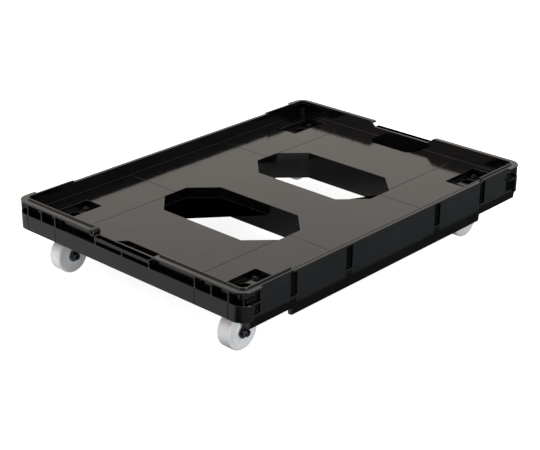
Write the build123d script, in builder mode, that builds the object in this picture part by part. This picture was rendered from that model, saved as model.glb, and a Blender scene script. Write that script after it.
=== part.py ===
from build123d import *
import os

# Moulded tray dolly on four swivel casters.  Millimetres, +Z up.  The origin is on the floor, under the
# middle of the tray.  X runs along the long sides; the end with the rope eyelet is the front, at -X.

# ---- Tray, in plan -------------------------------------------------------------------------------
length = 600.0
width = 437.0
corner_radius = 19.0
tray_wall_inset = 9.5       # from the outline to the outer face of the tray wall
tray_wall = 2.5
panel_inset = 5.0           # the long-side panels stand in from the corners by this much
panel_wall = 3.0
strip_inset = 6.5           # the strip under each long-side panel leans in from here
strip_lean = 0.12           # millimetres inward for each one down
strip_back_inset = 15.0     # inner face of the strip
rear_strip_end = 8.0        # the corner strip runs on to this far from the rear end
gap_wall = 1.4              # tray wall left behind each upright gap
band_wall = 3.0
corner_length = 34.5        # how far the corner runs along a long side
corner_gap = 16.5           # upright gap between the corner and the first panel
gap_ledge = 1.5             # thickness of the ledge that crosses the gap

# ---- Tray, in height: each depth or rise is from the deck top --------------------------------------
deck_thickness = 3.0
rim_height = 22.0           # corner rim above the deck
side_rim_height = 19.0      # the rim dips a little along the middle of a long side
flange_thickness = 2.5
flange_drop = 2.0           # the rim stands this much above the flange around it
dip_flange_drop = 0.7       # the same in the middle of a long side
band_depth = 21.0          # lower band around the ends and corners
band_height = 23.0
inner_skirt_depth = 18.0   # the tray wall runs on below the deck to here
corner_panel_depth = 21.0
side_panel_depth = 27.0
corner_strip_depth = 34.5
side_strip_depth = 45.0

# ---- Long sides ----------------------------------------------------------------------------------
slot_width = 12.5           # upright gap between two panels
first_slot = 96.0           # from the end of the tray to the middle of a gap
second_slot = 204.5
bridge_wall = 2.5           # ledge that closes the foot of each panel
cheek_wall = 2.2            # upright wall at each end of a panel

# ---- Ends ----------------------------------------------------------------------------------------
end_rib_wall = 2.2
end_rib_setback = 0.4       # rib edge behind the face of the band
outer_end_rib_insets = (84.5, 55.5, 26.5)    # from each long side
seam_width = 1.0            # shallow upright seams in the band of each end
seam_depth = 0.4
handle_rib_offset = 51.5
handle_half = 52.0          # half length of the low grip bar
handle_slope = 12.0         # the rim climbs back to full height over this length
handle_rise = 13.0
handle_height = 5.0
handle_depth = 10.5
handle_groove = 3.4
handle_groove_depth = 1.4
handle_groove_end = 4.0     # the groove stops this far from each end of the bar
hand_slot_half = 44.0
hand_slot_depth = 30.0
hand_slot_corner = 12.0     # cut off each inner corner of the pocket
hand_slot_drop = 15.5
hand_slot_wall = 2.4
eyelet_offset = 57.5        # from the middle of the front end
eyelet_diameter = 10.0
eyelet_bore = 5.0
eyelet_rise = 17.5
eyelet_length = 12.0

# ---- Deck ----------------------------------------------------------------------------------------
opening_spacing = 194.0     # between the middles of the two deck openings
opening_length = 220.0
opening_width = 114.0
opening_corner = 35.5
opening_wall = 3.0
opening_wall_depth = 41.5
corner_zone_step = 0.15     # the four corner zones of the deck lie this much lower
corner_zone_edge = 108.0    # from the middle of the tray to the step, across the width
rib_wall = 2.2
rib_depth = 16.0
cross_rib_offsets = (176.0, 214.0)
long_rib_offsets = (35.0, 128.0)
middle_cross_ribs = (-24.0, 24.0)

# ---- Caster seats --------------------------------------------------------------------------------
caster_end_inset = 60.0     # swivel axis from the end of the tray
caster_side_inset = 54.7    # swivel axis from the long side
pocket_length = 72.0
pocket_width = 32.0
pocket_corner = 2.5
pocket_depth = 12.0
pocket_wall = 2.4
pocket_pad_height = 5.0
seat_thickness = 4.0
seat_length = 76.0
seat_width = 50.0

# ---- Caster --------------------------------------------------------------------------------------
wheel_diameter = 52.0
wheel_clearance = 2.3       # tread to the kingpin foot above it
wheel_width = 22.0
wheel_edge = 2.2
tread_setback = 0.4         # the rim stands in from the hub faces by this much
hub_flare = 0.8
hub_diameter = 21.0
web_recess = 0.9
rim_wall = 4.4
trail = 15.0
plate_length = 68.0
plate_width = 46.0
plate_thickness = 2.5
plate_corner = 5.0
mount_bolt = 6.0
kingpin_diameter = 9.8
kingpin_head = 16.0
kingpin_head_height = 2.0
kingpin_foot_height = 3.6
kingpin_round = 1.2
ball_diameter = 4.0
ball_count = 16
ball_circle = 28.0
race_inner = 20.0
upper_race_outer = 41.0
lower_race_outer = 38.0
upper_race_height = 3.9
lower_race_height = 3.1
race_split = 0.5            # each race stops this far from the middle of the balls
fork_thickness = 2.4
fork_gap = 25.0
fork_crown = 36.0
leg_top_width = 31.0
fork_foot = 11.0            # rounded end of each leg, around the axle
axle_diameter = 6.0
sleeve_diameter = 10.0
washer_diameter = 18.0
washer_thickness = 1.1
socket_head = 10.0          # axle bolt: round head with a hexagon socket
socket_head_height = 4.2
socket_flats = 5.0
socket_depth = 2.8
hex_flats = 10.0
hex_height = 4.0
nut_height = 4.5
bolt_end = 1.5              # thread showing past a nut
hex_flange = 12.0
hex_flange_height = 1.2

# ---- Named fits ----------------------------------------------------------------------------------
running_clearance = 0.05    # radial, shaft in bore
thread_clearance = 0.05     # radial, nut on bolt
swivel_gap = 0.2            # kingpin foot under the fork crown
head_clearance = 1.0        # around the kingpin head in the seat
bolt_hole_clearance = 0.6   # on the diameter of each mounting bolt hole
nut_side_space = 1.0        # nut flange to the long wall of the pocket
nut_end_space = 3.0         # nut flange to the end wall of the pocket
pad_space = 2.5             # nut flange to the raised pad in the middle of the pocket

# ---- Worked out ----------------------------------------------------------------------------------
half_length = length / 2
half_width = width / 2
outer_end_ribs = [half_width - inset for inset in outer_end_rib_insets]
axle_height = wheel_diameter / 2
crown_bottom = wheel_diameter + wheel_clearance + kingpin_foot_height + swivel_gap
crown_top = crown_bottom + fork_thickness
lower_race_top = crown_top + lower_race_height
ball_height = lower_race_top + race_split
upper_race_bottom = ball_height + race_split
plate_bottom = upper_race_bottom + upper_race_height
seat_bottom = plate_bottom + plate_thickness
pocket_floor = seat_bottom + seat_thickness
deck_top = pocket_floor + pocket_depth
deck_bottom = deck_top - deck_thickness
rim_top = deck_top + rim_height
side_rim_top = deck_top + side_rim_height
flange_top = rim_top - flange_drop
band_bottom = deck_top - band_depth
band_top = band_bottom + band_height
inner_skirt_bottom = deck_top - inner_skirt_depth
corner_panel_bottom = deck_top - corner_panel_depth
side_panel_bottom = deck_top - side_panel_depth
corner_strip_bottom = deck_top - corner_strip_depth
side_strip_bottom = deck_top - side_strip_depth
handle_top = deck_top + handle_rise
hand_slot_floor = deck_top - hand_slot_drop
eyelet_height = deck_top + eyelet_rise
opening_wall_bottom = deck_top - opening_wall_depth
rib_bottom = deck_top - rib_depth
tray_inner_inset = tray_wall_inset + tray_wall
caster_x = half_length - caster_end_inset
caster_y = half_width - caster_side_inset
mount_bolt_hole = mount_bolt + bolt_hole_clearance
bolt_pitch_long = pocket_length - hex_flange - 2 * nut_end_space
bolt_pitch_wide = pocket_width - hex_flange - 2 * nut_side_space
pocket_pad_length = bolt_pitch_long - hex_flange - 2 * pad_space
dip_top = side_rim_top - dip_flange_drop
side_slots = (first_slot, second_slot, length - second_slot, length - first_slot)

CORNERS = {
    "front_left": (-caster_x, caster_y),
    "front_right": (-caster_x, -caster_y),
    "rear_left": (caster_x, caster_y),
    "rear_right": (caster_x, -caster_y),
}


# ---- Helpers for the tray ------------------------------------------------------------------------
def outline(inset, mode=Mode.ADD):
    """Rounded outline of the tray, moved in by inset, drawn in the active sketch."""
    radius = max(corner_radius - inset, 3.0)
    RectangleRounded(length - 2 * inset, width - 2 * inset, radius, mode=mode)


def ring(outer_inset, inner_inset, bottom, top, mode=Mode.ADD):
    """Wall that follows the outline between two insets."""
    with BuildSketch(Plane.XY.offset(bottom)) as profile:
        outline(outer_inset)
        outline(inner_inset, mode=Mode.SUBTRACT)
    extrude(profile.sketch, amount=top - bottom, mode=mode)


def blocks(limits, mode=Mode.ADD):
    """Rectangular blocks, each given by its two limits on X, Y and Z, joined or cut in one step."""
    boxes = []
    for ranges in limits:
        size = [abs(high - low) for low, high in ranges]
        centre = [(high + low) / 2 for low, high in ranges]
        boxes.append(Pos(*centre) * Box(*size, mode=Mode.PRIVATE))
    add(boxes, mode=mode)


def inward(edge, near, far):
    """Two coordinates at the given insets from an edge of the tray."""
    toward = 1 if edge < 0 else -1
    return (edge + toward * near, edge + toward * far)


def about(middle, thickness):
    """Two coordinates a thickness apart, either side of a middle."""
    return (middle - thickness / 2, middle + thickness / 2)


def opening_outline(x, growth):
    """Long octagon of one deck opening, grown outwards by growth."""
    half_long = opening_length / 2 + growth
    half_wide = opening_width / 2 + growth
    cut = opening_corner + growth * (2 - 2 ** 0.5)
    points = [
        (x - half_wide, half_long - cut),
        (x - half_wide + cut, half_long),
        (x + half_wide - cut, half_long),
        (x + half_wide, half_long - cut),
        (x + half_wide, -half_long + cut),
        (x + half_wide - cut, -half_long),
        (x - half_wide + cut, -half_long),
        (x - half_wide, -half_long + cut),
    ]
    return Polygon(*points, align=None)


def hand_slot_outline(side, growth):
    """Plan of the finger pocket behind one grip bar, grown by growth away from the tray wall."""
    near = half_length - tray_inner_inset
    far = near - hand_slot_depth - growth
    half = hand_slot_half + growth
    cut = hand_slot_corner + growth * (2 - 2 ** 0.5)
    points = [(near, half), (far + cut, half), (far, half - cut)]
    points += [(x, -y) for x, y in reversed(points)]
    return Polygon(*[(side * x, y) for x, y in points], align=None)


def hexagon_bolt_head(plane, height):
    """Hexagon head with its round flange, standing up from plane."""
    with BuildSketch(plane) as flange:
        Circle(hex_flange / 2)
    extrude(flange.sketch, amount=hex_flange_height)
    with BuildSketch(plane) as hexagon:
        RegularPolygon(hex_flats / 2, 6, major_radius=False)
    extrude(hexagon.sketch, amount=height)


# ---- Deck moulding -------------------------------------------------------------------------------
LONG_EDGES = (-half_width, half_width)
END_EDGES = (-half_length, half_length)
panel_reach = half_length - corner_length
middle_reach = half_length - first_slot
slot_places = [slot - half_length for slot in side_slots]

with BuildPart() as deck_moulding:
    # Deck plate, with its four corner zones a step lower.
    with BuildSketch(Plane.XY.offset(deck_bottom)) as deck_plan:
        outline(tray_wall_inset + tray_wall / 2)
    extrude(deck_plan.sketch, amount=deck_thickness)
    zones = []
    for end in END_EDGES:
        for edge in LONG_EDGES:
            zone_x = (opening_spacing / 2 * (1 if end > 0 else -1), end)
            zone_y = (corner_zone_edge * (1 if edge > 0 else -1), edge)
            zones.append((zone_x, zone_y, (deck_top - corner_zone_step, deck_top + 1)))
    blocks(zones, mode=Mode.SUBTRACT)

    # Tray wall, the flange around it, and the lower band around the ends and corners.
    ring(tray_wall_inset, tray_inner_inset, inner_skirt_bottom, rim_top)
    ring(0, tray_wall_inset + tray_wall / 2, flange_top - flange_thickness, flange_top)
    ring(0, band_wall, band_bottom, band_top)
    blocks(
        [((-panel_reach, panel_reach), inward(edge, -1, panel_inset), (band_bottom - 1, rim_top + 1))
         for edge in LONG_EDGES],
        mode=Mode.SUBTRACT,
    )

    # Upright gap between each corner and its first panel, with a thin ledge level with the band.
    gap_reach = panel_reach + corner_gap
    gaps, ledges = [], []
    for edge in LONG_EDGES:
        for end in (-1, 1):
            gap_x = (end * panel_reach, end * gap_reach)
            gap_y = inward(edge, -1, tray_wall_inset)
            gaps.append((gap_x, gap_y, (band_bottom - 1, flange_top - flange_thickness)))
            ledge_y = inward(edge, end_rib_setback, tray_wall_inset + 1)
            ledges.append((gap_x, ledge_y, (band_top - gap_ledge, band_top)))
            cheek_x = (end * gap_reach, end * (gap_reach + cheek_wall))
            ledges.append((cheek_x, ledge_y, (band_bottom + 1, band_top)))
    blocks(gaps, mode=Mode.SUBTRACT)
    blocks(ledges)

    # The rim and its flange dip along the middle of each long side.
    dips = []
    for edge in LONG_EDGES:
        dip_x = (-middle_reach, middle_reach)
        dips.append((dip_x, inward(edge, -1, tray_inner_inset + 1), (side_rim_top, rim_top + 1)))
        dips.append((dip_x, inward(edge, -1, tray_wall_inset), (dip_top, rim_top + 1)))
    blocks(dips, mode=Mode.SUBTRACT)

    # Long-side panels with a gap between each two, and the recessed strip below them.
    panels = []
    for edge in LONG_EDGES:
        panel_y = inward(edge, panel_inset, panel_inset + panel_wall)
        bridge_y = inward(edge, panel_inset, tray_inner_inset)
        panels.append(((-middle_reach, middle_reach), bridge_y, (dip_top - flange_thickness, dip_top)))
        stops = [-panel_reach]
        for place in slot_places:
            stops += about(place, slot_width)
        stops.append(panel_reach)
        for start, stop in zip(stops[0::2], stops[1::2]):
            in_middle = abs(start + stop) / 2 < middle_reach
            low = side_panel_bottom if in_middle else corner_panel_bottom
            high = dip_top if in_middle else flange_top
            panels.append(((start, stop), panel_y, (low, high - 1)))
            panels.append(((start, stop), bridge_y, (low, low + bridge_wall)))
            for cheek in (start + cheek_wall / 2, stop - cheek_wall / 2):
                panels.append((about(cheek, cheek_wall), bridge_y, (low, high - 1)))
    blocks(panels)
    gap_backs = []
    for edge in LONG_EDGES:
        for place in slot_places:
            top = dip_top - flange_thickness
            gap_y = inward(edge, 0, tray_inner_inset - gap_wall)
            gap_backs.append((about(place, slot_width), gap_y, (corner_panel_bottom, top)))
    blocks(gap_backs, mode=Mode.SUBTRACT)

    # The strips under the panels, leaning in towards their foot.
    lean_from = side_panel_bottom
    for edge in LONG_EDGES:
        for start, stop, panel_foot, foot in (
            (-gap_reach, half_length - rear_strip_end, corner_panel_bottom, corner_strip_bottom),
            (-middle_reach, middle_reach, side_panel_bottom, side_strip_bottom),
        ):
            insets = [strip_inset + strip_lean * (lean_from - z) for z in (panel_foot, foot)]
            top_y, foot_y = inward(edge, *insets)
            back_y = inward(edge, 0, strip_back_inset)[1]
            with BuildSketch(Plane.YZ.offset(start)) as strip:
                Polygon(
                    (top_y, inner_skirt_bottom + 1),
                    (top_y, panel_foot),
                    (foot_y, foot),
                    (back_y, foot),
                    (back_y, inner_skirt_bottom + 1),
                    align=None,
                )
            extrude(strip.sketch, amount=stop - start)

    # Ribs across the open groove of each end.
    end_ribs = []
    rib_offsets = (handle_rib_offset, *outer_end_ribs)
    for edge in END_EDGES:
        for offset in (0, *rib_offsets, *[-offset for offset in rib_offsets]):
            rib_x = inward(edge, end_rib_setback, tray_wall_inset + 1)
            end_ribs.append((rib_x, about(offset, end_rib_wall), (band_bottom + 1, flange_top - 1)))
    blocks(end_ribs)

    # One more rib square across each rounded corner.
    corner_rib_span = tray_wall_inset + 1 - end_rib_setback
    corner_rib_reach = (corner_radius - end_rib_setback - corner_rib_span / 2) / 2 ** 0.5
    with BuildSketch(Plane.XY.offset(band_bottom + 1)) as corner_ribs:
        for x_side in (-1, 1):
            for y_side in (-1, 1):
                rib_x = x_side * (half_length - corner_radius + corner_rib_reach)
                rib_y = y_side * (half_width - corner_radius + corner_rib_reach)
                with Locations(Location((rib_x, rib_y), 45 * x_side * y_side)):
                    Rectangle(corner_rib_span, end_rib_wall)
    extrude(corner_ribs.sketch, amount=flange_top - 1 - band_bottom - 1)

    # Shallow seams in the band below the outer ribs.
    blocks(
        [(inward(edge, -1, seam_depth), about(side * offset, seam_width), (band_bottom - 1, band_top + 1))
         for edge in END_EDGES for offset in (outer_end_ribs[0], outer_end_ribs[-1]) for side in (-1, 1)],
        mode=Mode.SUBTRACT,
    )

    # Low grip bar in the middle of each end, with the rim sloping down to it.
    for edge in END_EDGES:
        with BuildSketch(Plane.YZ.offset(min(inward(edge, -1, tray_inner_inset + 1)))) as notch:
            Polygon(
                (-handle_half - handle_slope, rim_top + 1),
                (-handle_half, handle_top),
                (handle_half, handle_top),
                (handle_half + handle_slope, rim_top + 1),
                align=None,
            )
        extrude(notch.sketch, amount=tray_inner_inset + 2, mode=Mode.SUBTRACT)
    bar_y = about(0, 2 * handle_half + 2)
    bar_z = (handle_top - handle_height, handle_top)
    blocks([(inward(edge, 0, handle_depth), bar_y, bar_z) for edge in END_EDGES])

    # Ribs under the deck.
    under_ribs = []
    rib_heights = (rib_bottom, deck_bottom + 1)
    across = inward(-half_width, tray_wall_inset + 1, width - tray_wall_inset - 1)
    along = inward(-half_length, tray_wall_inset + 1, length - tray_wall_inset - 1)
    for offset in (*cross_rib_offsets, *[-r for r in cross_rib_offsets], *middle_cross_ribs):
        under_ribs.append((about(offset, rib_wall), across, rib_heights))
    for offset in (*long_rib_offsets, *[-r for r in long_rib_offsets]):
        under_ribs.append((along, about(offset, rib_wall), rib_heights))
    blocks(under_ribs)

    # Caster seats: a pad for the plate under a pocket in the deck.
    with BuildSketch(Plane.XY.offset(seat_bottom)) as seat_pads:
        with Locations(*CORNERS.values()):
            RectangleRounded(seat_length, seat_width, pocket_corner)
    extrude(seat_pads.sketch, amount=seat_thickness)
    with BuildSketch(Plane.XY.offset(seat_bottom)) as pocket_boxes:
        with Locations(*CORNERS.values()):
            box_length = pocket_length + 2 * pocket_wall
            box_width = pocket_width + 2 * pocket_wall
            RectangleRounded(box_length, box_width, pocket_corner + pocket_wall)
    extrude(pocket_boxes.sketch, amount=deck_bottom + 1 - seat_bottom)
    with BuildSketch(Plane.XY.offset(pocket_floor)) as pockets:
        with Locations(*CORNERS.values()):
            RectangleRounded(pocket_length, pocket_width, pocket_corner)
    extrude(pockets.sketch, amount=pocket_depth + 1, mode=Mode.SUBTRACT)
    with BuildSketch(Plane.XY.offset(pocket_floor)) as pocket_pads:
        with Locations(*CORNERS.values()):
            Rectangle(pocket_pad_length, pocket_width + pocket_wall)
    extrude(pocket_pads.sketch, amount=pocket_pad_height)
    with BuildSketch(Plane.XY.offset(seat_bottom - 1)) as seat_holes:
        with Locations(*CORNERS.values()):
            Circle(kingpin_head / 2 + head_clearance)
            with GridLocations(bolt_pitch_long, bolt_pitch_wide, 2, 2):
                Circle(mount_bolt_hole / 2)
    extrude(seat_holes.sketch, amount=seat_thickness + pocket_pad_height + 2, mode=Mode.SUBTRACT)

    # Deep walls of the two long openings, then everything that is cut through the deck.
    with BuildSketch(Plane.XY.offset(opening_wall_bottom)) as opening_sleeves:
        for place in about(0, opening_spacing):
            opening_outline(place, opening_wall)
    extrude(opening_sleeves.sketch, amount=deck_bottom + 1 - opening_wall_bottom)
    with BuildSketch(Plane.XY.offset(opening_wall_bottom - 1)) as openings:
        for place in about(0, opening_spacing):
            opening_outline(place, 0)
    extrude(openings.sketch, amount=deck_top - opening_wall_bottom + 2, mode=Mode.SUBTRACT)
    with BuildSketch(Plane.XY.offset(hand_slot_floor - hand_slot_wall)) as hand_boxes:
        for side in (-1, 1):
            hand_slot_outline(side, hand_slot_wall)
    extrude(hand_boxes.sketch, amount=deck_bottom + 1 - hand_slot_floor + hand_slot_wall)
    with BuildSketch(Plane.XY.offset(hand_slot_floor)) as hand_slots:
        for side in (-1, 1):
            hand_slot_outline(side, 0)
    extrude(hand_slots.sketch, amount=deck_top - hand_slot_floor + 1, mode=Mode.SUBTRACT)
    groove_middle = half_length - handle_depth / 2
    groove_y = about(0, 2 * (handle_half - handle_groove_end))
    groove_z = (handle_top - handle_groove_depth, rim_top)
    blocks(
        [(about(middle, handle_groove), groove_y, groove_z) for middle in (-groove_middle, groove_middle)],
        mode=Mode.SUBTRACT,
    )

    # Rope eyelet at the front end, lying along X beside the grip bar.
    eyelet_plane = Plane((-half_length, eyelet_offset, eyelet_height), z_dir=(1, 0, 0))
    with BuildSketch(eyelet_plane) as eyelet:
        Circle(eyelet_diameter / 2)
    extrude(eyelet.sketch, amount=eyelet_length)
    with BuildSketch(eyelet_plane.offset(-1)) as eyelet_hole:
        Circle(eyelet_bore / 2)
    extrude(eyelet_hole.sketch, amount=tray_inner_inset + 3, mode=Mode.SUBTRACT)

deck_moulding.part.label = "deck_moulding"


# ---- Caster pieces, each drawn on its swivel axis (x, y) -----------------------------------------
def top_plate(x, y):
    """Pressed plate that bolts under the caster seat."""
    with BuildPart() as piece:
        with BuildSketch(Plane((x, y, plate_bottom))) as profile:
            RectangleRounded(plate_length, plate_width, plate_corner)
            Circle(kingpin_diameter / 2 + running_clearance, mode=Mode.SUBTRACT)
            with GridLocations(bolt_pitch_long, bolt_pitch_wide, 2, 2):
                Circle(mount_bolt_hole / 2, mode=Mode.SUBTRACT)
        extrude(amount=plate_thickness)
    return piece.part


def ball_race(x, y, outer, low, high):
    """Hardened ring between two heights, with the groove for the balls cut in it."""
    with BuildPart() as piece:
        with BuildSketch(Plane((x, y, 0), z_dir=(0, -1, 0), x_dir=(1, 0, 0))) as profile:
            with Locations(((race_inner + outer) / 4, (low + high) / 2)):
                Rectangle((outer - race_inner) / 2, high - low)
            with Locations((ball_circle / 2, ball_height)):
                Circle(ball_diameter / 2 + running_clearance, mode=Mode.SUBTRACT)
        revolve(axis=Axis((x, y, 0), (0, 0, 1)))
    return piece.part


def ball_ring(x, y):
    """One row of loose balls."""
    with BuildPart() as piece:
        with Locations(Location((x, y, ball_height))):
            with PolarLocations(ball_circle / 2, ball_count):
                Sphere(ball_diameter / 2)
    return piece.part


def kingpin(x, y):
    """Rivet through plate, races and fork crown, headed at both ends."""
    foot_top = crown_bottom - swivel_gap
    with BuildPart() as piece:
        with BuildSketch(Plane((x, y, foot_top - kingpin_foot_height))) as foot:
            Circle(kingpin_head / 2)
        extrude(amount=kingpin_foot_height)
        with BuildSketch(Plane((x, y, foot_top))) as shank:
            Circle(kingpin_diameter / 2)
        extrude(amount=seat_bottom - foot_top)
        with BuildSketch(Plane((x, y, seat_bottom))) as head:
            Circle(kingpin_head / 2)
        extrude(amount=kingpin_head_height)
        fillet(piece.edges().filter_by(GeomType.CIRCLE).sort_by(Axis.Z)[-1], kingpin_round)
        fillet(piece.edges().filter_by(GeomType.CIRCLE).sort_by(Axis.Z)[0], kingpin_round)
    return piece.part


def fork(x, y):
    """Pressed yoke: a round crown on the kingpin and two legs that lean back to the axle."""
    axle_x = x - trail
    inner = fork_gap / 2
    with BuildPart() as piece:
        with BuildSketch(Plane((x, y, crown_bottom))) as crown:
            Circle(fork_crown / 2)
            Rectangle(leg_top_width, fork_gap + 2 * fork_thickness)
        extrude(amount=fork_thickness)
        for side in (-1, 1):
            leg_plane = Plane((x, y + side * inner, 0), z_dir=(0, side, 0), x_dir=(-side, 0, 0))
            with BuildSketch(leg_plane) as leg:
                with BuildLine():
                    CenterArc((side * trail, axle_height), fork_foot / 2, 0, 360)
                    Line((-leg_top_width / 2, crown_top), (leg_top_width / 2, crown_top))
                make_hull()
            extrude(amount=fork_thickness)
        with BuildSketch(Plane((x, y, crown_bottom - 1))) as pin_hole:
            Circle(kingpin_diameter / 2 + running_clearance)
        extrude(amount=fork_thickness + 2, mode=Mode.SUBTRACT)
        outer_face = y - inner - fork_thickness
        with BuildSketch(Plane((axle_x, outer_face - 1, axle_height), z_dir=(0, 1, 0))) as eye:
            Circle(axle_diameter / 2 + running_clearance)
        extrude(amount=fork_gap + 2 * fork_thickness + 2, mode=Mode.SUBTRACT)
    return piece.part


def wheel(x, y):
    """Moulded wheel, turned about Y: tread with broken edges, thin web, plain bore on the sleeve."""
    half = wheel_width / 2
    bore = sleeve_diameter / 2 + running_clearance
    radius = wheel_diameter / 2
    rim_face = half - tread_setback
    web_face = half - web_recess
    web_outer = radius - rim_wall
    with BuildPart() as piece:
        with BuildSketch(Plane((x - trail, y, axle_height), z_dir=(1, 0, 0), x_dir=(0, 1, 0))) as profile:
            Polygon(
                (-half, bore),
                (-half, hub_diameter / 2),
                (-web_face, hub_diameter / 2 + hub_flare),
                (-web_face, web_outer - hub_flare),
                (-rim_face, web_outer),
                (-rim_face, radius - wheel_edge),
                (-rim_face + wheel_edge, radius),
                (rim_face - wheel_edge, radius),
                (rim_face, radius - wheel_edge),
                (rim_face, web_outer),
                (web_face, web_outer - hub_flare),
                (web_face, hub_diameter / 2 + hub_flare),
                (half, hub_diameter / 2),
                (half, bore),
                align=None,
            )
        revolve(axis=Axis((x - trail, y, axle_height), (0, 1, 0)))
    return piece.part


def across_wheel(x, y, offset):
    """Plane square to the axle, offset along Y from the middle of the wheel."""
    return Plane((x - trail, y + offset, axle_height), z_dir=(0, 1, 0))


def axle_sleeve(x, y):
    """Steel tube between the fork legs that the wheel turns on."""
    with BuildPart() as piece:
        with BuildSketch(across_wheel(x, y, -fork_gap / 2)) as profile:
            Circle(sleeve_diameter / 2)
            Circle(axle_diameter / 2 + running_clearance, mode=Mode.SUBTRACT)
        extrude(amount=fork_gap)
    return piece.part


def wheel_washers(x, y):
    """Thin washer on the sleeve at each side of the wheel."""
    with BuildPart() as piece:
        for offset in (-fork_gap / 2, fork_gap / 2 - washer_thickness):
            with BuildSketch(across_wheel(x, y, offset)) as profile:
                Circle(washer_diameter / 2)
                Circle(sleeve_diameter / 2 + running_clearance, mode=Mode.SUBTRACT)
            extrude(profile.sketch, amount=washer_thickness)
    return piece.part


def axle_bolt(x, y):
    """Axle bolt, its round socket head at -Y."""
    reach = fork_gap / 2 + fork_thickness
    with BuildPart() as piece:
        with BuildSketch(Plane((x - trail, y - reach, axle_height), z_dir=(0, -1, 0))) as head:
            Circle(socket_head / 2)
        extrude(head.sketch, amount=socket_head_height)
        with BuildSketch(across_wheel(x, y, -reach)) as shank:
            Circle(axle_diameter / 2)
        extrude(shank.sketch, amount=2 * reach + nut_height + bolt_end)
        head_face = Plane((x - trail, y - reach - socket_head_height, axle_height), z_dir=(0, 1, 0))
        with BuildSketch(head_face) as socket:
            RegularPolygon(socket_flats / 2, 6, major_radius=False)
        extrude(socket.sketch, amount=socket_depth, mode=Mode.SUBTRACT)
    return piece.part


def axle_nut(x, y):
    """Flanged nut on the axle bolt."""
    reach = fork_gap / 2 + fork_thickness
    with BuildPart() as piece:
        hexagon_bolt_head(across_wheel(x, y, reach), nut_height)
        with BuildSketch(across_wheel(x, y, reach)) as bore:
            Circle(axle_diameter / 2 + thread_clearance)
        extrude(bore.sketch, amount=nut_height + 1, mode=Mode.SUBTRACT)
    return piece.part


def mount_bolts(x, y):
    """Four flanged bolts up through the plate and the seat."""
    with BuildPart() as piece:
        for spot in GridLocations(bolt_pitch_long, bolt_pitch_wide, 2, 2):
            bolt_x = x + spot.position.X
            bolt_y = y + spot.position.Y
            hexagon_bolt_head(Plane((bolt_x, bolt_y, plate_bottom), z_dir=(0, 0, -1)), hex_height)
            with BuildSketch(Plane((bolt_x, bolt_y, plate_bottom))) as shank:
                Circle(mount_bolt / 2)
            extrude(shank.sketch, amount=plate_thickness + seat_thickness + nut_height + bolt_end)
    return piece.part


def mount_nuts(x, y):
    """Four flanged nuts in the pocket."""
    with BuildPart() as piece:
        for spot in GridLocations(bolt_pitch_long, bolt_pitch_wide, 2, 2):
            nut_plane = Plane((x + spot.position.X, y + spot.position.Y, pocket_floor))
            hexagon_bolt_head(nut_plane, nut_height)
            with BuildSketch(nut_plane) as bore:
                Circle(mount_bolt / 2 + thread_clearance)
            extrude(bore.sketch, amount=nut_height + 1, mode=Mode.SUBTRACT)
    return piece.part


def upper_race(x, y):
    """Race pressed against the plate."""
    return ball_race(x, y, upper_race_outer, upper_race_bottom, plate_bottom)


def lower_race(x, y):
    """Race that turns with the fork crown."""
    return ball_race(x, y, lower_race_outer, crown_top, lower_race_top)


CASTER_PIECES = {
    "top_plate": top_plate,
    "upper_race": upper_race,
    "swivel_balls": ball_ring,
    "lower_race": lower_race,
    "kingpin": kingpin,
    "fork": fork,
    "wheel": wheel,
    "axle_sleeve": axle_sleeve,
    "wheel_washers": wheel_washers,
    "axle_bolt": axle_bolt,
    "axle_nut": axle_nut,
    "mount_bolts": mount_bolts,
    "mount_nuts": mount_nuts,
}

# ---- Write every piece ---------------------------------------------------------------------------
os.makedirs("parts", exist_ok=True)
export_step(deck_moulding.part, "parts/deck_moulding.step")
for corner, (corner_x, corner_y) in CORNERS.items():
    for piece_name, make_piece in CASTER_PIECES.items():
        caster_piece = make_piece(corner_x, corner_y)
        caster_piece.label = f"{corner}_{piece_name}"
        export_step(caster_piece, f"parts/{caster_piece.label}.step")
        print(caster_piece.label, round(caster_piece.volume), "mm3")
print("deck_moulding", round(deck_moulding.part.volume / 1000), "cm3", len(deck_moulding.part.solids()))
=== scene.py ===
# %% [markdown]
# A moulded tray dolly: one big black tray with a raised rim, on four small white caster wheels.
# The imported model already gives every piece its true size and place, so this lesson starts by loading
# it, and only then gives each piece the edges and finishes that the real one has.  All sizes are metres.

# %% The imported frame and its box
import math

import bmesh
import bpy
from mathutils import Matrix, Vector


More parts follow.
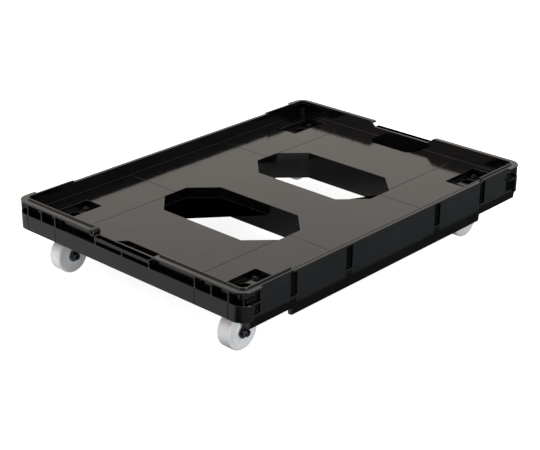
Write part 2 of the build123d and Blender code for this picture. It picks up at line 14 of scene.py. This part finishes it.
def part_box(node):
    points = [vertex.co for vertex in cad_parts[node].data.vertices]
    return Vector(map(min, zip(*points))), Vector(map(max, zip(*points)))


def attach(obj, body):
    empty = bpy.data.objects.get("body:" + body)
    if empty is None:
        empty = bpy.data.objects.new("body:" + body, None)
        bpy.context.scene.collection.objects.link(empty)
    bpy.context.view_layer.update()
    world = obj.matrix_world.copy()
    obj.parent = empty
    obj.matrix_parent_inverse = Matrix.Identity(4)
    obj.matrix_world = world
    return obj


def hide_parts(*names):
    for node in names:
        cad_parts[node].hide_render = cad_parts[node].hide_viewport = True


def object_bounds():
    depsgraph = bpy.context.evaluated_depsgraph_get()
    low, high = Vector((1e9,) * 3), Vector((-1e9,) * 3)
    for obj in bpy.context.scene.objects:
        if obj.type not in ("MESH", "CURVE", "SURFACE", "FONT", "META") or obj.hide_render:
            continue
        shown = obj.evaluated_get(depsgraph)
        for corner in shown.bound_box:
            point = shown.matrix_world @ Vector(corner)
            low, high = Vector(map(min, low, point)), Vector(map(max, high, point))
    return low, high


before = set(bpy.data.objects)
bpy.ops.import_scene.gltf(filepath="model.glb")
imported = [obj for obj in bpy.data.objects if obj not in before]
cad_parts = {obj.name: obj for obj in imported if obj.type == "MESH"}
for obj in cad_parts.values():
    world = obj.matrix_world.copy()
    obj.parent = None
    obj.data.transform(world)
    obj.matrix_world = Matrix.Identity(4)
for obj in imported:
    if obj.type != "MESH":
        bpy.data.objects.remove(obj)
cad_low, cad_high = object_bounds()
MM = 0.001
print("box of the model, mm:", [round(v / MM, 1) for v in (*cad_low, *cad_high)])

# %% [markdown]
# Colours are written as the hex codes that paint and plastic makers quote, which are sRGB.  Blender's
# shaders want linear light, so one function turns the one into the other.  A second small function adds a
# shader node with its settings and its links, which keeps each recipe below short enough to read.

# %% Helpers for colours and shader nodes
def linear_colour(code):
    """Linear RGBA from an sRGB hex code."""
    parts = [int(code[start:start + 2], 16) / 255 for start in (1, 3, 5)]
    linear = [part / 12.92 if part <= 0.04045 else ((part + 0.055) / 1.055) ** 2.4 for part in parts]
    return (*linear, 1.0)


def add_node(tree, kind, inputs=None, **settings):
    """Adds a node.  inputs gives a socket's value, or the output that is linked to it."""
    node = tree.nodes.new(kind)
    for name, value in settings.items():
        setattr(node, name, value)
    for socket, value in (inputs or {}).items():
        if isinstance(value, bpy.types.NodeSocket):
            tree.links.new(value, node.inputs[socket])
        else:
            node.inputs[socket].default_value = value
    return node


def new_material(name, **surface):
    """A material and its main shader, with the given fixed values on the shader's own sockets."""
    material = bpy.data.materials.new(name)
    material.use_nodes = True
    shader = material.node_tree.nodes["Principled BSDF"]
    for socket, value in surface.items():
        shader.inputs[socket.replace("_", " ")].default_value = value
    return material, material.node_tree, shader


def band(tree, value, low, high, start=0.0, end=1.0):
    """Stretches the part of a pattern between low and high to run from start to end."""
    limits = {"Value": value, "From Min": low, "From Max": high, "To Min": start, "To Max": end}
    return add_node(tree, "ShaderNodeMapRange", limits).outputs["Result"]


def blend_colours(tree, factor, first, second):
    """Mixes two colours by a factor."""
    sockets = {0: factor, 6: first, 7: second}
    return add_node(tree, "ShaderNodeMix", sockets, data_type="RGBA").outputs[2]


def per_size(size_mm):
    """Noise scale whose blobs are about size_mm across on Object coordinates, which are metres."""
    return 1 / (size_mm * MM)


print("white as linear light:", linear_colour("#ffffff"))

# %% [markdown]
# The tray is injection-moulded polypropylene with reclaimed black stock in it.  To the eye that is a
# near-black body with a soft skin: from above it goes pewter grey where it mirrors the room at a low
# angle, it is a little cloudy where the melt flowed unevenly, and every exposed edge has been polished
# or scuffed paler by crates.  The pale edge colour is partly that wear and partly a painted highlight,
# the thin line of light that a rounded edge catches, laid along every edge.  The clouds and scuffs could
# be painted on as an image, but noise on Object coordinates costs nothing, has no seams and stays at its
# real size, so each is a noise of a known size.

# %% Black reclaimed polypropylene
def exposed_edges(tree, radius_mm, low, high):
    """1 along the outer edges of a piece and 0 on its flats, from how far a rounded normal leans."""
    rounded = add_node(tree, "ShaderNodeBevel", {"Radius": radius_mm * MM}, samples=6)
    true_normal = add_node(tree, "ShaderNodeNewGeometry").outputs["True Normal"]
    sockets = {0: rounded.outputs["Normal"], 1: true_normal}
    lean = add_node(tree, "ShaderNodeVectorMath", sockets, operation="DOT_PRODUCT").outputs["Value"]
    return band(tree, lean, low, high)


def make_tray_plastic():
    material, tree, shader = new_material("polypropylene_black_moulded", IOR=1.49, Roughness=0.3)
    place = add_node(tree, "ShaderNodeTexCoord").outputs["Object"]
    flow_size = {"Vector": place, "Scale": per_size(70), "Detail": 4.0, "Distortion": 0.8}
    flow = add_node(tree, "ShaderNodeTexNoise", flow_size).outputs["Fac"]
    cloud_size = {"Vector": place, "Scale": per_size(14), "Detail": 5.0, "Roughness": 0.65}
    clouds = add_node(tree, "ShaderNodeTexNoise", cloud_size).outputs["Fac"]
    grain_size = {"Vector": place, "Scale": per_size(0.9), "Detail": 2.0}
    grain = add_node(tree, "ShaderNodeTexNoise", grain_size).outputs["Fac"]

    # Hairline scuffs are the thin level lines of a slow noise, stretched along the tray.
    stretched = add_node(tree, "ShaderNodeMapping", {"Vector": place, "Scale": (0.35, 1.0, 1.0),
                                                      "Rotation": (0.0, 0.0, math.radians(24))})
    scuff_size = {"Vector": stretched.outputs["Vector"], "Scale": per_size(22), "Detail": 3.0,
                  "Distortion": 1.5}
    scuff_field = add_node(tree, "ShaderNodeTexNoise", scuff_size).outputs["Fac"]
    level = add_node(tree, "ShaderNodeMath", {0: scuff_field, 1: 0.5}, operation="SUBTRACT").outputs[0]
    distance = add_node(tree, "ShaderNodeMath", {0: level}, operation="ABSOLUTE").outputs[0]
    lines = band(tree, distance, 0.006, 0.0)
    where = band(tree, clouds, 0.5, 0.62)
    scuffs = add_node(tree, "ShaderNodeMath", {0: lines, 1: where}, operation="MULTIPLY").outputs[0]

    base = blend_colours(tree, band(tree, flow, 0.35, 0.65), linear_colour("#050506"),
                         linear_colour("#0d0c0c"))
    base = blend_colours(tree, band(tree, scuffs, 0.0, 1.0, 0.0, 0.45), base, linear_colour("#3f3e3c"))
    # Pale edges: partly real scuffing, partly a painted highlight along every edge.
    pale_edge_mask = exposed_edges(tree, 1.0, 0.985, 0.85)
    pale_edges = add_node(tree, "ShaderNodeMath", {0: pale_edge_mask, 1: band(tree, clouds, 0.3, 0.6, 0.25, 0.8)},
                    operation="MULTIPLY").outputs[0]
    base = blend_colours(tree, pale_edges, base, linear_colour("#4a4c4d"))
    tree.links.new(base, shader.inputs["Base Color"])

    skin = band(tree, clouds, 0.3, 0.7, 0.07, 0.15)
    matt = add_node(tree, "ShaderNodeMath", {0: skin, 1: band(tree, scuffs, 0.0, 1.0, 0.0, 0.2)},
                    operation="ADD").outputs[0]
    tree.links.new(matt, shader.inputs["Roughness"])

    sink = add_node(tree, "ShaderNodeBump", {"Height": flow, "Distance": 0.6 * MM, "Strength": 0.35})
    skin_bump = add_node(tree, "ShaderNodeBump", {"Height": clouds, "Distance": 0.10 * MM,
                                                   "Strength": 0.5, "Normal": sink.outputs[0]})
    fine = add_node(tree, "ShaderNodeBump", {"Height": grain, "Distance": 0.03 * MM, "Strength": 0.5,
                                              "Normal": skin_bump.outputs[0]})
    tree.links.new(fine.outputs[0], shader.inputs["Normal"])
    return material


tray_plastic = make_tray_plastic()
print("made", tray_plastic.name)

# %% [markdown]
# The wheels are moulded nylon, which light enters a little before it comes back, so it never looks like
# flat white paint.  A trace of subsurface light and a satin skin give that, with grey dust and fine specks
# held on the tread.

# %% Natural white nylon
def make_wheel_nylon():
    material, tree, shader = new_material("nylon_natural_white", IOR=1.53, Subsurface_Weight=0.12,
                                          Subsurface_Scale=1.5 * MM)
    place = add_node(tree, "ShaderNodeTexCoord").outputs["Object"]
    dust_size = {"Vector": place, "Scale": per_size(7), "Detail": 5.0, "Roughness": 0.6}
    dust = add_node(tree, "ShaderNodeTexNoise", dust_size).outputs["Fac"]
    speck_size = {"Vector": place, "Scale": per_size(1.2), "Detail": 2.0}
    specks = add_node(tree, "ShaderNodeTexNoise", speck_size).outputs["Fac"]
    base = blend_colours(tree, band(tree, dust, 0.42, 0.75, 0.0, 0.6), linear_colour("#f1f2f4"),
                         linear_colour("#dedfde"))
    base = blend_colours(tree, band(tree, specks, 0.68, 0.76, 0.0, 0.35), base,
                         linear_colour("#a8a49b"))
    tree.links.new(base, shader.inputs["Base Color"])
    tree.links.new(band(tree, dust, 0.3, 0.7, 0.3, 0.46), shader.inputs["Roughness"])
    bump = add_node(tree, "ShaderNodeBump", {"Height": specks, "Distance": 0.05 * MM, "Strength": 0.4})
    tree.links.new(bump.outputs[0], shader.inputs["Normal"])
    return material


wheel_nylon = make_wheel_nylon()
print("made", wheel_nylon.name)

# %% [markdown]
# The forks and plates are pressed mild steel with a black electro-coat, a thin even paint that stays
# glossy but shows the slight orange peel of the sheet below.  The bolts are black zinc plated, which is a
# metal and not a paint: dark, with sharp highlights.  The races and balls are bare hardened steel in oil.

# %% Black coated steel, black zinc and bare bearing steel
def make_coated_steel():
    material, tree, shader = new_material("steel_black_ecoat", IOR=1.52, Coat_Weight=0.35,
                                          Coat_Roughness=0.12)
    place = add_node(tree, "ShaderNodeTexCoord").outputs["Object"]
    peel_size = {"Vector": place, "Scale": per_size(1.6), "Detail": 2.0}
    peel = add_node(tree, "ShaderNodeTexNoise", peel_size).outputs["Fac"]
    film_size = {"Vector": place, "Scale": per_size(12), "Detail": 4.0}
    film = add_node(tree, "ShaderNodeTexNoise", film_size).outputs["Fac"]
    pale_edge_mask = exposed_edges(tree, 0.6, 0.97, 0.8)
    base = blend_colours(tree, band(tree, film, 0.35, 0.7), linear_colour("#0d0e0f"),
                         linear_colour("#191a1b"))
    pale_edges = add_node(tree, "ShaderNodeMath", {0: pale_edge_mask, 1: band(tree, film, 0.45, 0.6, 0.1, 0.7)},
                    operation="MULTIPLY").outputs[0]
    tree.links.new(blend_colours(tree, pale_edges, base, linear_colour("#77797b")),
                   shader.inputs["Base Color"])
    tree.links.new(band(tree, film, 0.3, 0.7, 0.24, 0.38), shader.inputs["Roughness"])
    bump = add_node(tree, "ShaderNodeBump", {"Height": peel, "Distance": 0.04 * MM, "Strength": 0.45})
    tree.links.new(bump.outputs[0], shader.inputs["Normal"])
    return material


def make_plain_steel(name, dark, pale, roughness):
    """A bare or plated metal between two tones, with fine handling marks."""
    material, tree, shader = new_material(name, Metallic=1.0)
    place = add_node(tree, "ShaderNodeTexCoord").outputs["Object"]
    mark_size = {"Vector": place, "Scale": per_size(3), "Detail": 5.0, "Roughness": 0.65}
    marks = add_node(tree, "ShaderNodeTexNoise", mark_size).outputs["Fac"]
    base = blend_colours(tree, band(tree, marks, 0.35, 0.7), linear_colour(dark), linear_colour(pale))
    tree.links.new(base, shader.inputs["Base Color"])
    low, high = roughness
    tree.links.new(band(tree, marks, 0.3, 0.7, low, high), shader.inputs["Roughness"])
    bump = add_node(tree, "ShaderNodeBump", {"Height": marks, "Distance": 0.02 * MM, "Strength": 0.3})
    tree.links.new(bump.outputs[0], shader.inputs["Normal"])
    return material


coated_steel = make_coated_steel()
black_zinc = make_plain_steel("zinc_black_passivated", "#3a3c3f", "#626568", (0.2, 0.34))
bearing_steel = make_plain_steel("steel_hardened_oiled", "#6d6f72", "#a2a4a7", (0.18, 0.32))
FINISHES = {
    "tray_plastic": tray_plastic,
    "wheel_nylon": wheel_nylon,
    "coated_steel": coated_steel,
    "race_steel": bearing_steel,
    "black_bolt": black_zinc,
}
print("finishes:", sorted(FINISHES))

# %% [markdown]
# CAD edges are perfectly sharp, and no real edge is: a mould or a press leaves a small round that catches
# a thin line of light, and on a black object those lines are most of what the eye reads.  The shapes are
# right already, so each piece is a merged copy of its CAD node whose flat faces are joined up again, with
# a small bevel on every edge that turns sharply.

# %% A copy of a CAD node with softened edges
MERGE_WITHIN = 0.002 * MM


def finish_piece(piece, node, slot_name, body):
    """Gives a new piece its finish and its body, and hides the CAD node it stands for."""
    piece.data.materials.clear()
    piece.data.materials.append(FINISHES[slot_name])
    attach(piece, body)
    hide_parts(node)


def new_piece(name, mesh_builder):
    """Puts a finished bmesh in the scene as an object at the origin."""
    mesh = bpy.data.meshes.new(name)
    mesh_builder.to_mesh(mesh)
    mesh_builder.free()
    piece = bpy.data.objects.new(name, mesh)
    bpy.context.scene.collection.objects.link(piece)
    return piece


def soften(shape, radius_mm, segments, turn_degrees=30):
    """Rounds every edge of a bmesh that turns by more than turn_degrees."""
    turn = math.radians(turn_degrees)
    sharp = [edge for edge in shape.edges if len(edge.link_faces) == 2 and edge.calc_face_angle() > turn]
    bmesh.ops.bevel(shape, geom=sharp, offset=radius_mm * MM, offset_type="OFFSET", segments=segments,
                    profile=0.5, affect="EDGES", clamp_overlap=False, material=-1, miter_outer="ARC")


def shade(shape, turn_degrees):
    """Smooth shading, with a crease wherever two faces turn by more than turn_degrees."""
    for face in shape.faces:
        face.smooth = True
    for edge in shape.edges:
        edge.smooth = edge.calc_face_angle(0.0) < math.radians(turn_degrees)


def softened_copy(node, name, radius_mm, segments=2):
    """A merged copy of a CAD node, its flats joined up and its edges rounded."""
    shape = bmesh.new()
    shape.from_mesh(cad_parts[node].data)
    bmesh.ops.remove_doubles(shape, verts=shape.verts, dist=MERGE_WITHIN)
    bmesh.ops.dissolve_limit(shape, angle_limit=math.radians(0.5), verts=shape.verts, edges=shape.edges,
                             use_dissolve_boundaries=False)
    soften(shape, radius_mm, segments)
    shade(shape, 14)
    return new_piece(name, shape)


# %% [markdown]
# The tray comes out of the mould with its edges broken by about half a millimetre.

# %% The tray
tray = softened_copy("deck_moulding", "tray_moulding", 0.45)
finish_piece(tray, "deck_moulding", "tray_plastic", "deck")
print("tray:", len(tray.data.polygons), "faces")

# %% [markdown]
# Each wheel is a solid of revolution: the mould leaves a flat tread with rounded shoulders, a slightly
# dished side and a raised hub.  Spinning half of its section about the axle makes it in one step, and the
# section comes from the CAD wheel's own box.

# %% The wheels
CORNERS = ("front_left", "front_right", "rear_left", "rear_right")
WHEEL_STEPS = 96
SHOULDER_STEPS = 6
WHEEL_BORE = 5.05 * MM
BORE_EDGE = 0.4 * MM        # chamfer at the mouth of the bore
HUB_FACE = 10.3 * MM        # the flat of the hub ends at this radius
HUB_EDGE = 10.8 * MM
HUB_FOOT = 11.4 * MM        # the hub meets the web here
HUB_EDGE_DROP = 0.3 * MM
RIM_SETBACK = 0.4 * MM      # rim face behind the hub face
WEB_RECESS = 0.9 * MM       # web behind the hub face
RIM_FOOT = 5.4 * MM         # from the tread in to where the rim meets the web
RIM_EDGE = 4.4 * MM
SHOULDER = 2.2 * MM         # round between tread and side


def wheel_section(radius, half_width, bore):
    """Half of the wheel's section, as (distance from the axle, distance along it)."""
    face = half_width - RIM_SETBACK
    web = half_width - WEB_RECESS
    section = [(bore, half_width - BORE_EDGE), (bore + BORE_EDGE, half_width), (HUB_FACE, half_width)]
    section += [(HUB_EDGE, half_width - HUB_EDGE_DROP), (HUB_FOOT, web)]
    section += [(radius - RIM_FOOT, web), (radius - RIM_EDGE, face)]
    for step in range(SHOULDER_STEPS + 1):
        turn = math.pi / 2 * step / SHOULDER_STEPS
        section.append((radius - SHOULDER + SHOULDER * math.sin(turn),
                        face - SHOULDER + SHOULDER * math.cos(turn)))
    return section


def make_wheel(corner):
    low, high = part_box(f"{corner}_wheel")
    centre = (Vector(low) + Vector(high)) / 2
    radius = (high[2] - low[2]) / 2
    half_width = (high[1] - low[1]) / 2
    section = wheel_section(radius, half_width, WHEEL_BORE)
    full = section + [(distance, -along) for distance, along in reversed(section)]
    shape = bmesh.new()
    rim = [shape.verts.new((centre.x + distance, centre.y + along, centre.z)) for distance, along in full]
    edges = [shape.edges.new(pair) for pair in zip(rim, rim[1:] + rim[:1])]
    bmesh.ops.spin(shape, geom=rim + edges, cent=centre, axis=(0, 1, 0), angle=math.tau,
                   steps=WHEEL_STEPS, use_merge=True)
    bmesh.ops.remove_doubles(shape, verts=shape.verts, dist=MERGE_WITHIN)
    bmesh.ops.recalc_face_normals(shape, faces=shape.faces)
    shade(shape, 40)
    return new_piece(f"{corner}_nylon_wheel", shape)


for corner in CORNERS:
    wheel = make_wheel(corner)
    finish_piece(wheel, f"{corner}_wheel", "wheel_nylon", f"{corner}_roller")
print("wheels:", len(CORNERS), "of", len(wheel.data.polygons), "faces")

# %% [markdown]
# The rest of a caster is pressed and turned steel.  Each piece is softened by what its making leaves: a
# pressed edge is rounder than a turned one.

# %% Forks, plates, races and fasteners
CASTER_FINISHES = {  # piece: its finish, the body it rides on, and the radius of its edges in mm
    "top_plate": ("coated_steel", "deck", 0.5),
    "fork": ("coated_steel", "swivel", 0.7),
    "upper_race": ("race_steel", "deck", 0.3),
    "lower_race": ("race_steel", "swivel", 0.3),
    "kingpin": ("black_bolt", "deck", 0.2),
    "axle_bolt": ("black_bolt", "swivel", 0.35),
    "axle_nut": ("black_bolt", "swivel", 0.35),
    "axle_sleeve": ("race_steel", "swivel", 0.2),
    "wheel_washers": ("race_steel", "swivel", 0.2),
    "mount_bolts": ("black_bolt", "deck", 0.35),
    "mount_nuts": ("black_bolt", "deck", 0.35),
}
for corner in CORNERS:
    for name, (slot_name, body, radius_mm) in CASTER_FINISHES.items():
        node = f"{corner}_{name}"
        piece = softened_copy(node, f"{node}_finished", radius_mm)
        finish_piece(piece, node, slot_name, body if body == "deck" else f"{corner}_{body}")
    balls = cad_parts[f"{corner}_swivel_balls"]
    balls.data.materials.clear()
    balls.data.materials.append(bearing_steel)
print("caster pieces finished:", len(CORNERS) * (len(CASTER_FINISHES) + 1))

# %% [markdown]
# A black object is lit by what it mirrors.  A white room all round gives the deck its pewter grey, one
# large soft light from high on the left fills the near end, and the side away from it stays darker.  A low
# soft light on that darker side reaches the white wheels, which the tray would otherwise shade.  The floor
# is a light table: a plain pale sheet, lit a little from below, which keeps its shadows faint and
# shows white through the openings.  Only in what the tray mirrors, the sheet also carries painted shade:
# grey zones beside two sides of the tray and a near-black painted shadow along its near long side.

# %% Floor and lights
FLOOR_HALF = 6.0
# Tones of the painted shade that the floor shows, in reflections only, beside two sides of the tray.
NEAR_PAINTED_SHADES = (("X", cad_low.x, "#bcc2c3"), ("Y", cad_low.y, "#6f7a80"))  # axis, edge of the tray, tone


def make_floor():
    """A pale sheet with painted shade and a painted shadow beside the tray, which only its reflections
    show.
    """
    shape = bmesh.new()
    bmesh.ops.create_grid(shape, x_segments=1, y_segments=1, size=FLOOR_HALF)
    floor = new_piece("studio_floor", shape)
    material, tree, shader = new_material("light_table_white_painted_shade", Roughness=0.9)
    shader.inputs["Specular IOR Level"].default_value = 0.1
    shader.inputs["Emission Color"].default_value = linear_colour("#ffffff")
    seen = add_node(tree, "ShaderNodeLightPath").outputs["Is Camera Ray"]
    place = add_node(tree, "ShaderNodeTexCoord").outputs["Object"]
    along = add_node(tree, "ShaderNodeSeparateXYZ", {0: place})
    sheet = linear_colour("#ececea")
    # Painted shade: full from 40 mm to 0.3 m outside the tray's edge, fading in from 0.1 m inside it and
    # out by 0.7 m.
    for axis, edge, painted_shade_colour in NEAR_PAINTED_SHADES:
        begins = band(tree, along.outputs[axis], edge + 0.1, edge - 0.04)
        ends = band(tree, along.outputs[axis], edge - 0.7, edge - 0.3)
        painted_shade_near = add_node(tree, "ShaderNodeMath", {0: begins, 1: ends}, operation="MULTIPLY").outputs[0]
        sheet = blend_colours(tree, painted_shade_near, sheet, linear_colour(painted_shade_colour))
    # Painted shadow: a near-black strip along the tray's near long side, from 40 mm inside its edge to 50
    # mm outside, seen only in reflections.
    inner_end = band(tree, along.outputs["Y"], cad_low.y + 0.08, cad_low.y + 0.04)
    outer_end = band(tree, along.outputs["Y"], cad_low.y - 0.08, cad_low.y - 0.05)
    painted_contact_shadow = add_node(tree, "ShaderNodeMath", {0: inner_end, 1: outer_end},
                          operation="MULTIPLY").outputs[0]
    sheet = blend_colours(tree, painted_contact_shadow, sheet, linear_colour("#141516"))
    sheet = blend_colours(tree, seen, sheet, linear_colour("#f0f0f0"))
    tree.links.new(sheet, shader.inputs["Base Color"])
    tree.links.new(band(tree, seen, 0.0, 1.0, 0.04, 0.85), shader.inputs["Emission Strength"])
    floor.data.materials.append(material)
    return floor


def add_soft_light(name, place, target, size, power):
    """A square area light that faces a target."""
    data = bpy.data.lights.new(name, "AREA")
    data.size = size
    data.energy = power
    light = bpy.data.objects.new(name, data)
    light.location = place
    light.rotation_euler = (Vector(target) - Vector(place)).to_track_quat("-Z", "Y").to_euler()
    bpy.context.scene.collection.objects.link(light)
    return light


SOFT_LIGHTS = {  # name: place, target, size in metres, power in watts
    "key_light": ((-1.6, 1.2, 2.2), (0, 0, 0.05), 1.6, 40),
    "fill_light": ((-0.3, -1.5, 0.25), (0, 0, 0.03), 0.6, 10),
}
make_floor()
for light_name, recipe in SOFT_LIGHTS.items():
    add_soft_light(light_name, *recipe)
ROOM_STRENGTH = 0.94
world = bpy.data.worlds.new("studio_room")
world.use_nodes = True
room = world.node_tree
direction = add_node(room, "ShaderNodeTexCoord").outputs["Generated"]
across_room = add_node(room, "ShaderNodeSeparateXYZ", {0: direction}).outputs["Y"]
lit_side = band(room, across_room, -0.5, 0.1)
walls = blend_colours(room, lit_side, linear_colour("#a9aeb3"), linear_colour("#fff7ee"))
room.links.new(walls, room.nodes["Background"].inputs["Color"])
room.nodes["Background"].inputs["Strength"].default_value = ROOM_STRENGTH
bpy.context.scene.world = world
bpy.context.scene.view_settings.view_transform = "Standard"

# %% [markdown]
# The camera looks down on the near corner from about 24 degrees, at a product photographer's long focal
# length, so that the sides of the tray stay almost parallel.

# %% Camera
CAMERA_PLACE = Vector((-1.3551, -1.2246, 0.8431))
HEADING = math.radians(42.57)       # from +X towards +Y
DOWNWARD = math.radians(23.71)
TILT = math.radians(0.36)
LENS_MM = 91.64                     # on a 36 mm wide sensor
SHIFT = (0.0054, -0.0049)

forward = Vector((math.cos(HEADING) * math.cos(DOWNWARD), math.sin(HEADING) * math.cos(DOWNWARD),
                  -math.sin(DOWNWARD)))
level_right = Vector((math.sin(HEADING), -math.cos(HEADING), 0))
level_up = level_right.cross(forward)
right = level_right * math.cos(TILT) + level_up * math.sin(TILT)
up = right.cross(forward)
camera_data = bpy.data.cameras.new("studio_camera")
camera_data.sensor_width = 36
camera_data.lens = LENS_MM
camera_data.shift_x, camera_data.shift_y = SHIFT
camera_data.clip_start = 0.05
camera = bpy.data.objects.new("studio_camera", camera_data)
turn = Matrix((right, up, -forward)).transposed().to_4x4()
camera.matrix_world = Matrix.Translation(CAMERA_PLACE) @ turn
bpy.context.scene.collection.objects.link(camera)
bpy.context.scene.camera = camera
print("camera at", [round(v, 3) for v in camera.location])
